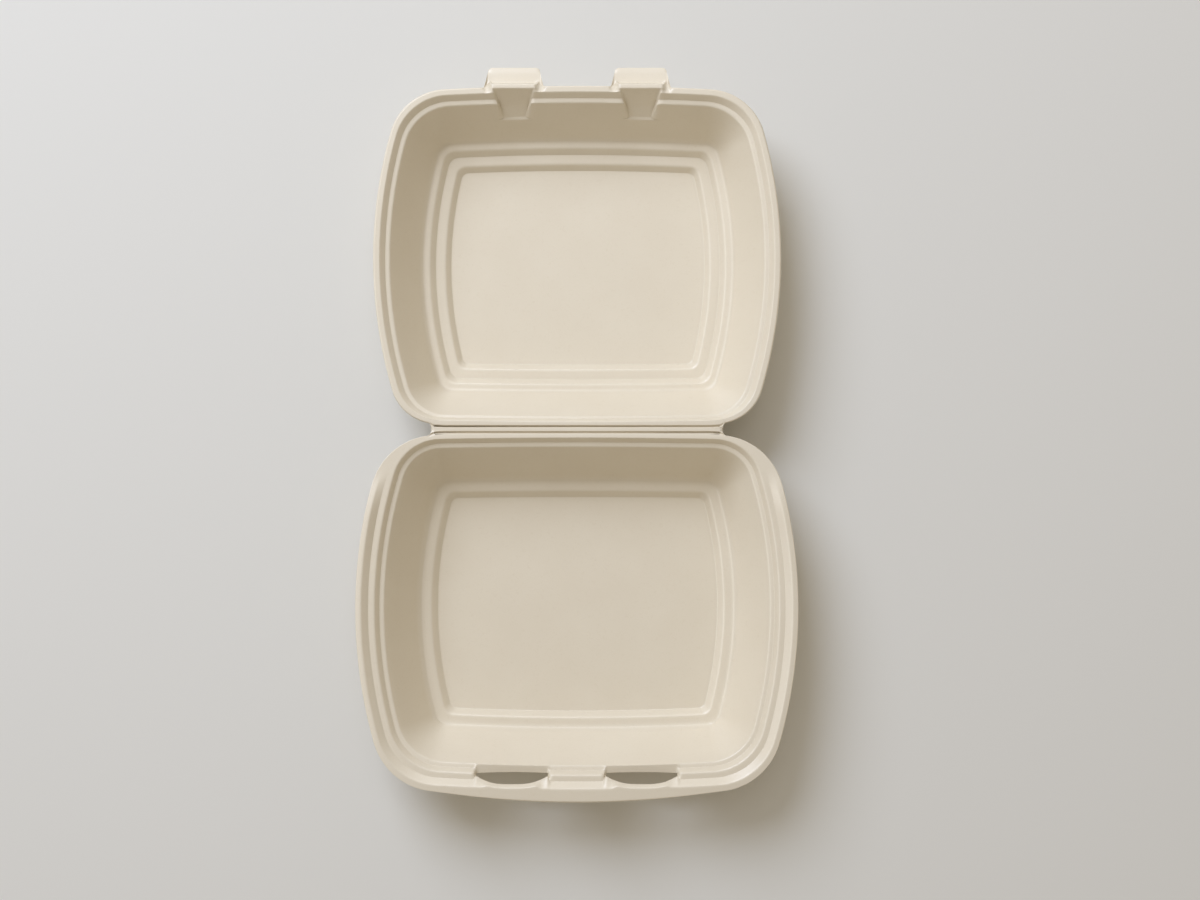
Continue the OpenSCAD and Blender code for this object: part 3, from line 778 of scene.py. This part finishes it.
def select_loop(obj, ring):
    """Selects the edges between the vertices of one ring."""
    bm = edit_mesh(obj)
    for a, b in zip(ring, ring[1:] + ring[:1]):
        bm.edges.get((bm.verts[a], bm.verts[b])).select_set(True)
    bmesh.update_edit_mesh(obj.data)


def draw_out(name, rings):
    """Draws a tube out of a circle, ring after ring, and closes its ends; gives each ring's indices too."""
    start_clean()
    bpy.ops.mesh.primitive_circle_add(vertices=len(rings[0]), radius=0.1)
    skin = bpy.context.object
    skin.name = skin.data.name = name
    bm = edit(skin)
    bpy.ops.mesh.select_mode(type="EDGE")
    bpy.ops.mesh.select_all(action="SELECT")
    drawn = [list(range(len(rings[0])))]
    for point, vert in zip(rings[0], bm.verts):
        vert.co = point
    for points in rings[1:]:
        bpy.ops.mesh.extrude_edges_move()
        bm = edit_mesh(skin)
        bm.verts.index_update()
        ring = []
        for index, point in zip(drawn[-1], points):
            around = [e.other_vert(bm.verts[index]) for e in bm.verts[index].link_edges]
            vert = next(v for v in around if v.select)
            vert.co = point
            ring.append(vert.index)
        drawn.append(ring)
        bmesh.update_edit_mesh(skin.data)
    for ring in (drawn[0], drawn[-1]):
        bpy.ops.mesh.select_all(action="DESELECT")
        select_loop(skin, ring)
        bpy.ops.mesh.edge_face_add()
    bpy.ops.object.mode_set(mode="OBJECT")
    return skin, drawn


def cut_slots(tray, drawn, skin, slot):
    """Takes out the faces between the slots' edges, above and below, and joins both faces round each slot."""
    bm = edit(tray)
    bpy.ops.mesh.select_mode(type="FACE")
    spans = [slot, (skin.count - slot[1], skin.count - slot[0])]
    layers = [(skin.top_ring(HOLE_ROW + 1), skin.top_ring(HOLE_ROW))]
    layers.append((skin.under_ring(HOLE_ROW), skin.under_ring(HOLE_ROW + 1)))
    for first_ring, last_ring in layers:
        for ring in range(first_ring, last_ring):
            for first, last in spans:
                for k in range(first, last):
                    quad = drawn[ring][k : k + 2] + drawn[ring + 1][k : k + 2]
                    bm.faces.get([bm.verts[quad[i]] for i in (0, 1, 3, 2)]).select_set(True)
    bmesh.update_edit_mesh(tray.data)
    bpy.ops.mesh.delete(type="ONLY_FACE")
    bpy.ops.mesh.select_all(action="SELECT")
    bpy.ops.mesh.delete_loose()
    bpy.ops.mesh.select_mode(type="EDGE")
    for side in (1, -1):
        bpy.ops.mesh.select_all(action="DESELECT")
        bm = edit_mesh(tray)
        for edge in bm.edges:
            if edge.is_boundary and edge.verts[0].co.x * side > 0:
                edge.select_set(True)
        bmesh.update_edit_mesh(tray.data)
        bpy.ops.mesh.bridge_edge_loops()
    bpy.ops.object.mode_set(mode="OBJECT")


def open_fold(tray):
    """Takes out the faces that lie in the fold, where the other half is welded on."""
    bm = edit(tray)
    bpy.ops.mesh.select_mode(type="FACE")
    for face in bm.faces:
        if all(abs(v.co.y - FOLD_Y) < WELD for v in face.verts):
            face.select_set(True)
    bmesh.update_edit_mesh(tray.data)
    bpy.ops.mesh.delete(type="FACE")
    bpy.ops.object.mode_set(mode="OBJECT")


def drawn_piece(name):
    obj = bpy.data.objects.get(name)
    if obj is None:
        raise RuntimeError(f"{name} has to be drawn first")
    return obj


class BOX_OT_base_tray(bpy.types.Operator):
    """Draw the base tray out ring by ring, with its outer lip and its two slots"""

    bl_idname = "takeaway_box.base_tray"
    bl_label = "Base tray"

    def execute(self, context):
        plan = Plan(context.scene.box_sizes)
        cage, slot_first, slot_last = base_cage(plan)
        skin = Skin(cage, BASE_CUTS, -1, plan, (slot_first, slot_last), SLOT_CUTS, slot=True)
        tray, drawn = draw_out("base_tray", skin.rings)
        cut_slots(tray, drawn, skin, (slot_first, slot_last))
        open_fold(tray)
        return {"FINISHED"}


class BOX_OT_lid_tray(bpy.types.Operator):
    """Draw the lid tray out ring by ring, with its two latch tabs"""

    bl_idname = "takeaway_box.lid_tray"
    bl_label = "Lid tray"

    def execute(self, context):
        plan = Plan(context.scene.box_sizes)
        cage, tab_first, tab_last = lid_cage(plan)
        skin = Skin(cage, LID_CUTS, 1, plan, (tab_first, tab_last), TAB_CUTS)
        tray, _ = draw_out("lid_tray", skin.rings)
        open_fold(tray)
        return {"FINISHED"}


class BOX_OT_hinge_web(bpy.types.Operator):
    """Weld the halves along the fold, smooth the whole sheet, and part it at the creases"""

    bl_idname = "takeaway_box.hinge_web"
    bl_label = "Hinge web"

    def execute(self, context):
        plan = Plan(context.scene.box_sizes)
        fibre = moulded_fibre(context.scene.box_finish)
        base, lid = drawn_piece("base_tray"), drawn_piece("lid_tray")
        sheet = self.weld(base, lid)
        self.mark(sheet, plan, fibre)
        self.smooth(sheet)
        pieces = self.part(sheet)
        for piece in pieces.values():
            self.close(piece)
            start_clean()
            piece.select_set(True)
            bpy.context.view_layer.objects.active = piece
            bpy.ops.object.shade_smooth_by_angle(angle=SHARP_TURN)
            piece.data.materials.clear()
            piece.data.materials.append(fibre)
            piece.data.polygons.foreach_set("material_index", [0] * len(piece.data.polygons))
        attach(pieces["base_tray"], "base")
        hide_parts("base")
        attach(pieces["lid_tray"], "lid")
        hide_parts("lid")
        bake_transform(pieces["hinge_web"])
        return {"FINISHED"}

    def weld(self, base, lid):
        start_clean()
        base.select_set(True)
        lid.select_set(True)
        bpy.context.view_layer.objects.active = base
        bpy.ops.object.join()
        edit(base)
        bpy.ops.mesh.select_all(action="SELECT")
        bpy.ops.mesh.remove_doubles(threshold=WELD)
        bpy.ops.mesh.normals_make_consistent(inside=False)
        bpy.ops.object.mode_set(mode="OBJECT")
        base.name = base.data.name = "sheet"
        return base

    def mark(self, sheet, plan, fibre):
        """Gives the base, the web and the lid a material slot each, at which the sheet is parted later."""
        for _ in PIECES:
            sheet.data.materials.append(fibre)
        for face in sheet.data.polygons:
            x, y = face.center.x, face.center.y - FOLD_Y
            on_web = abs(y) < plan.crease_end and abs(x) < plan.s.web_w / 2
            face.material_index = 1 if on_web else 0 if y < 0 else 2

    def smooth(self, sheet):
        subdivide = sheet.modifiers.new("soft edges", "SUBSURF")
        subdivide.levels = subdivide.render_levels = 1
        subdivide.use_limit_surface = False
        bpy.ops.object.modifier_apply(modifier=subdivide.name)

    def part(self, sheet):
        start_clean()
        sheet.select_set(True)
        bpy.context.view_layer.objects.active = sheet
        bpy.ops.object.mode_set(mode="EDIT")
        bpy.ops.mesh.separate(type="MATERIAL")
        bpy.ops.object.mode_set(mode="OBJECT")
        pieces = {}
        for piece in bpy.context.selected_objects:
            middle = sum((Vector(corner) for corner in piece.bound_box), Vector()) / 8
            from_fold = middle.y - FOLD_Y
            name = PIECES[1 if abs(from_fold) < WEB_REACH else 0 if from_fold < 0 else 2]
            piece.name = piece.data.name = name
            pieces[name] = piece
        if set(pieces) != set(PIECES):
            raise RuntimeError(f"the sheet parted into {sorted(pieces)}")
        return pieces

    def close(self, piece):
        """Closes the sheet's cut at each crease; the web has one on each side of its middle."""
        middle_y = sum(corner[1] for corner in piece.bound_box) / 8
        for side in (-1, 1):
            bm = edit(piece)
            bpy.ops.mesh.select_mode(type="EDGE")
            cut = [e for e in bm.edges if e.is_boundary and (e.verts[0].co.y - middle_y) * side > 0]
            for edge in cut:
                edge.select_set(True)
            bmesh.update_edit_mesh(piece.data)
            if cut:
                bpy.ops.mesh.edge_face_add()
            bpy.ops.object.mode_set(mode="OBJECT")


# Materials


def linear(hex_colour):
    """An sRGB hex value as a linear colour with alpha."""
    channels = [int(hex_colour[i : i + 2], 16) / 255 for i in (1, 3, 5)]
    return [c / 12.92 if c <= 0.04045 else ((c + 0.055) / 1.055) ** 2.4 for c in channels] + [1]


def add(tree, kind, inputs=None, **settings):
    """Adds a node; an input is a value, or another node's output to link."""
    node = tree.nodes.new(kind)
    for name, value in settings.items():
        setattr(node, name, value)
    for key, value in (inputs or {}).items():
        if isinstance(value, bpy.types.NodeSocket):
            tree.links.new(value, node.inputs[key])
        else:
            node.inputs[key].default_value = value
    return node


def per_metre(millimetres):
    """Noise scale whose features are this size."""
    return 1 / (millimetres * MM)


def moulded_fibre(finish):
    """Bagasse pressed hot between smooth moulds: even, with a satin sheen, pale clouds where the pulp
    settled, faint specks of stalk, painted shade in the inside corners, and a fine tooth that keeps
    highlights broad."""
    material = bpy.data.materials.new("moulded_fibre")
    material.use_nodes = True
    tree = material.node_tree
    tree.nodes.clear()
    place_on = add(tree, "ShaderNodeTexCoord").outputs["Object"]
    clouds = add(tree, "ShaderNodeTexNoise", {"Vector": place_on, "Scale": per_metre(28), "Detail": 3.0})
    cloud_share = add(
        tree,
        "ShaderNodeMapRange",
        {"Value": clouds.outputs["Fac"], "From Min": 0.35, "From Max": 0.7, "To Min": 0.0, "To Max": 0.5},
    )
    ground = add(
        tree,
        "ShaderNodeMix",
        {
            "Factor": cloud_share.outputs["Result"],
            "A": linear(finish.fibre),
            "B": linear(finish.fibre_pale),
        },
        data_type="RGBA",
    )
    # The specks, like the fibres' tooth below, are drawn coarser than they are, so that they show
    specks = add(
        tree,
        "ShaderNodeTexNoise",
        {"Vector": place_on, "Scale": per_metre(1.6), "Detail": 4.0, "Distortion": 1.5},
    )
    speck_share = add(
        tree,
        "ShaderNodeMapRange",
        {"Value": specks.outputs["Fac"], "From Min": 0.55, "From Max": 0.75, "To Min": 0.0, "To Max": 0.35},
    )
    body = add(
        tree,
        "ShaderNodeMix",
        {
            "Factor": speck_share.outputs["Result"],
            "A": ground.outputs["Result"],
            "B": linear(finish.fibre_dark),
        },
        data_type="RGBA",
    )
    # Painted shade: where ambient occlusion finds inside corners, at the foot of steps and in creases,
    # the colour is darkened towards the painted-shade colour
    corners = add(tree, "ShaderNodeAmbientOcclusion", {"Distance": 3 * MM}, samples=8, only_local=True)
    painted_shade_share = add(
        tree,
        "ShaderNodeMapRange",
        {"Value": corners.outputs["AO"], "From Min": 0.5, "From Max": 0.92, "To Min": 0.45, "To Max": 0.0},
    )
    # pressed holds the fibre colour with that painted shade mixed in
    pressed = add(
        tree,
        "ShaderNodeMix",
        {
            "Factor": painted_shade_share.outputs["Result"],
            "A": body.outputs["Result"],
            "B": linear(finish.fibre_painted_shade),
        },
        data_type="RGBA",
    )
    tooth = add(tree, "ShaderNodeTexNoise", {"Vector": place_on, "Scale": per_metre(0.9), "Detail": 5.0})
    bump = add(
        tree,
        "ShaderNodeBump",
        {"Height": tooth.outputs["Fac"], "Strength": 0.06, "Distance": 0.25 * MM},
    )
    surface = add(
        tree,
        "ShaderNodeBsdfPrincipled",
        {
            "Base Color": pressed.outputs["Result"],
            "Roughness": 0.3,
            "IOR": 1.47,
            "Specular IOR Level": 0.6,
            "Normal": bump.outputs["Normal"],
        },
    )
    add(tree, "ShaderNodeOutputMaterial", {"Surface": surface.outputs["BSDF"]})
    return material


def studio_floor(finish):
    """Plain matte painted board that only takes the shadow."""
    material = bpy.data.materials.new("painted_board")
    material.use_nodes = True
    tree = material.node_tree
    tree.nodes.clear()
    surface = add(
        tree,
        "ShaderNodeBsdfPrincipled",
        {"Base Color": linear(finish.floor), "Roughness": 0.9, "Specular IOR Level": 0.1},
    )
    add(tree, "ShaderNodeOutputMaterial", {"Surface": surface.outputs["BSDF"]})
    return material


# Stage


def aim(obj, target):
    obj.rotation_euler = (Vector(target) - obj.location).to_track_quat("-Z", "Y").to_euler()


def soft_box(name, spot, target, size, power, tint):
    """A round soft box at a spot, turned towards its target."""
    bpy.ops.object.light_add(type="AREA", location=spot)
    lamp = bpy.context.object
    lamp.name = lamp.data.name = name
    lamp.data.shape = "DISK"
    lamp.data.size = size
    lamp.data.energy = power
    lamp.data.color = linear(tint)[:3]
    aim(lamp, target)
    return lamp


class BOX_OT_stage(bpy.types.Operator):
    """Lay the floor, hang the lamps and set the camera above the open box"""

    bl_idname = "takeaway_box.stage"
    bl_label = "Stage"

    def execute(self, context):
        scene = context.scene
        scene.view_settings.view_transform = "Standard"
        start_clean()
        bpy.ops.mesh.primitive_plane_add(size=FLOOR_SIZE, location=FLOOR_AT)
        floor = context.object
        floor.name = "floor"
        floor.data.materials.append(studio_floor(scene.box_finish))
        world = scene.world or bpy.data.worlds.new("studio")
        scene.world = world
        world.use_nodes = True
        sky = world.node_tree.nodes["Background"]
        sky.inputs["Color"].default_value = linear(ROOM_TINT)
        sky.inputs["Strength"].default_value = ROOM_STRENGTH
        for lamp in LAMPS:
            soft_box(*lamp)
        for lamp in SHEEN_LAMPS:
            soft_box(*lamp).visible_diffuse = False
        bpy.ops.object.camera_add(location=CAMERA_AT)
        camera = context.object
        camera.name = "camera"
        camera.rotation_euler = (CAMERA_TILT, 0, 0)
        camera.data.sensor_width = SENSOR_W
        camera.data.lens = SENSOR_W * FOCAL_PX / PHOTO_W
        scene.camera = camera
        return {"FINISHED"}


class BOX_PT_panel(bpy.types.Panel):
    """Sizes, colours and steps of the takeaway box"""

    bl_label = "Takeaway box"
    bl_space_type = "VIEW_3D"
    bl_region_type = "UI"
    bl_category = "Takeaway box"

    def draw(self, context):
        for group in (context.scene.box_sizes, context.scene.box_finish):
            for name in group.__annotations__:
                self.layout.prop(group, name)
        for operator in OPERATORS:
            self.layout.operator(operator.bl_idname)


OPERATORS = (BOX_OT_base_tray, BOX_OT_lid_tray, BOX_OT_hinge_web, BOX_OT_stage)
CLASSES = (BoxSizes, BoxFinish) + OPERATORS + (BOX_PT_panel,)


def register():
    for cls in CLASSES:
        bpy.utils.register_class(cls)
    bpy.types.Scene.box_sizes = bpy.props.PointerProperty(type=BoxSizes)
    bpy.types.Scene.box_finish = bpy.props.PointerProperty(type=BoxFinish)


def unregister():
    del bpy.types.Scene.box_finish
    del bpy.types.Scene.box_sizes
    for cls in reversed(CLASSES):
        bpy.utils.unregister_class(cls)


def main():
    register()
    bpy.ops.takeaway_box.base_tray()
    bpy.ops.takeaway_box.lid_tray()
    bpy.ops.takeaway_box.hinge_web()
    bpy.ops.takeaway_box.stage()


if __name__ == "__main__":
    main()
